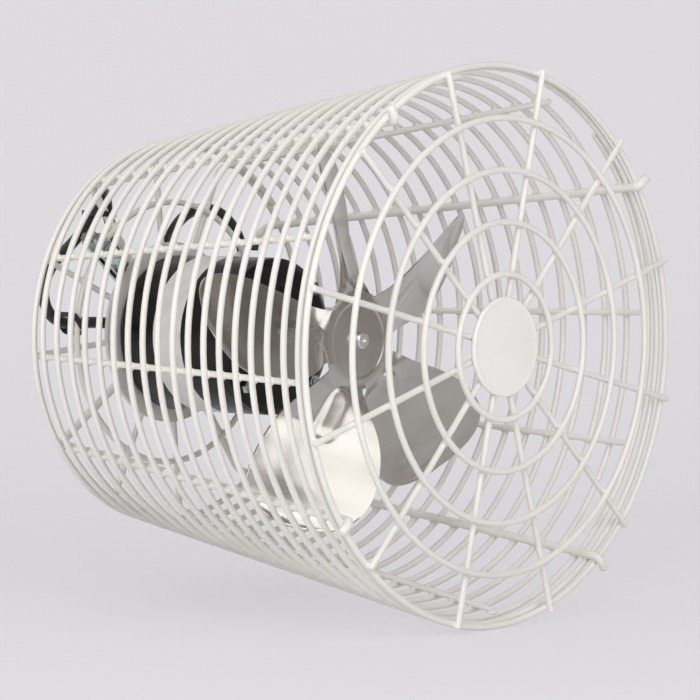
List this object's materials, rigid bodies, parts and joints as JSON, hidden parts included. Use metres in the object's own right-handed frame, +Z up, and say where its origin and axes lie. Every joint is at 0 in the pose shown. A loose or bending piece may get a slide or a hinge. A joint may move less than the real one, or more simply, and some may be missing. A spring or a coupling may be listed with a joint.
{
  "type": "air circulator fan",
  "caption": "Air circulator fan head: stamped aluminium fan wheel on a round motor inside a deep tapered wire guard with a front grille, rear studs and a supply cord tied up behind.",
  "frame": {"origin": "on the fan axis, at the seat plane of the four rear studs, 1 mm (a thin washer) behind the outer faces of their nuts", "axes": "+Z up, +Y along the fan axis towards the rear, front grille faces -Y, +X to the right seen from the front"},
  "size_m": [0.4183, 0.4289, 0.4184],
  "materials": {
    "wire_coat": "powder coat",
    "badge": "satin",
    "plate_coat": "powder coat",
    "motor_enamel": "semi gloss enamel",
    "bronze": "turned",
    "label": "printed film, left blank",
    "core_steel": "laminated",
    "winding": "enamelled copper",
    "black_plastic": "moulded",
    "cord_jacket": "matte",
    "shaft_steel": "ground",
    "blade_aluminium": "bright mill finish",
    "hub_zinc": "cast",
    "zinc": "zinc plated"
  },
  "bodies": {
    "guard_and_motor": {"basket_rim_rings": "wire_coat", "basket_side_spiral": "wire_coat", "basket_rear_ring": "wire_coat", "basket_inner_ring": "wire_coat", "basket_rods": "wire_coat", "basket_hook_rods": "wire_coat", "grille_rings": "wire_coat", "grille_spokes": "wire_coat", "centre_badge": "badge", "badge_backing_plate": "wire_coat", "badge_screw": "zinc", "motor_plate": "plate_coat", "motor_shell": "motor_enamel", "motor_front_bell": "motor_enamel", "motor_rear_bell": "motor_enamel", "front_bearing": "bronze", "rear_bearing": "bronze", "motor_label": "label", "stator_core": "core_steel", "stator_front_winding": "winding", "stator_rear_winding": "winding", "motor_studs": "zinc", "stud_washers": "zinc", "stud_nuts_rear": "zinc", "stud_nuts_front": "zinc", "cord_strap": "zinc", "strap_clamp_bar": "zinc", "strap_bolts": "zinc", "strap_nuts": "zinc", "cord_gland": "black_plastic", "cord_coil": "cord_jacket", "supply_cord": "cord_jacket", "cable_ties": "black_plastic", "coil_tie": "black_plastic", "plug_body": "black_plastic", "plug_pins": "bronze"},
    "fan_rotor": {"motor_shaft": "shaft_steel", "rotor_core": "core_steel", "shaft_collars": "shaft_steel", "fan_blade": "blade_aluminium", "fan_hub": "hub_zinc", "hub_set_screws": "shaft_steel"}
  },
  "joints": [
    {"name": "fan_spin", "type": "hinge", "parent": "guard_and_motor", "child": "fan_rotor", "pos_m": [0, -0.1, 0], "axis": [0, 1, 0], "continuous": true}
  ]
}
